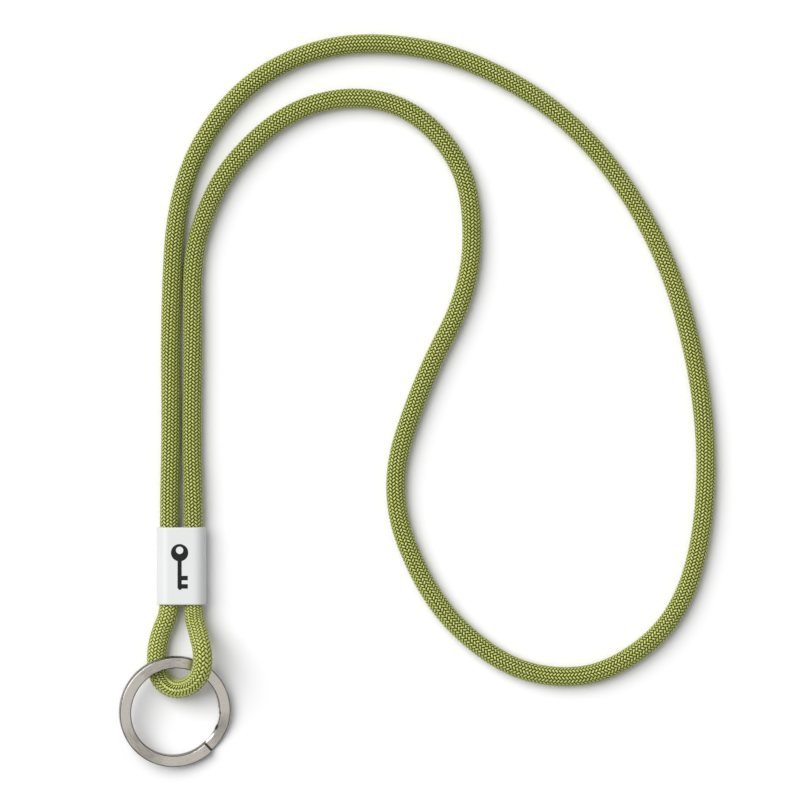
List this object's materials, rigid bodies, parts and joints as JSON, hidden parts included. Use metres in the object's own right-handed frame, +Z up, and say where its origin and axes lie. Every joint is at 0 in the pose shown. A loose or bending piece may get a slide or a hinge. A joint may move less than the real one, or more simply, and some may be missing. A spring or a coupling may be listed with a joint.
{
  "type": "neck lanyard",
  "caption": "Neck lanyard of round braided cord, its ends clamped in a flattened plastic sleeve, with a short cord loop below the sleeve that carries a flat split key ring.",
  "frame": {"origin": "on the surface that the lanyard lies on, under the middle of the box of the sleeve and split ring", "axes": "+Z up, +Y along the sleeve away from the split ring, +X to the right seen from the front; the lanyard lies on its back with the neck cord spread to the right"},
  "size_m": [0.1866, 0.2294, 0.0155],
  "materials": {
    "cord_cover": "braided polyester, olive green, slight sheen",
    "cord_core": "straight undyed filament yarns",
    "sleeve": "glossy white moulded plastic",
    "crimp": "plain pressed sheet",
    "end_seal": "melted polyester, dark and glassy",
    "split_ring": "nickel-plated, satin faces and bright edges"
  },
  "bodies": {
    "clamp": {"sleeve": "sleeve", "crimp": "crimp", "through_strand_cover": "cord_cover", "through_strand_core": "cord_core", "upper_end_cover": "cord_cover", "upper_end_core": "cord_core", "lower_end_cover": "cord_cover", "lower_end_core": "cord_core", "end_seals": "end_seal", "neck_cord_cover": "cord_cover", "neck_cord_core": "cord_core"},
    "loop": {"ring_loop_cover": "cord_cover", "ring_loop_core": "cord_core"},
    "ring": {"split_ring": "split_ring"}
  },
  "joints": [
    {"name": "loop_flex", "type": "hinge", "parent": "clamp", "child": "loop", "pos_m": [0.002, 0.0099, 0.0042], "axis": [-1, 0, 0], "range_deg": [0, 50]},
    {"name": "ring_spin", "type": "hinge", "parent": "loop", "child": "ring", "pos_m": [0, -0.02, 0.00563], "axis": [0.1853, -0.1555, 0.9703], "continuous": true}
  ]
}
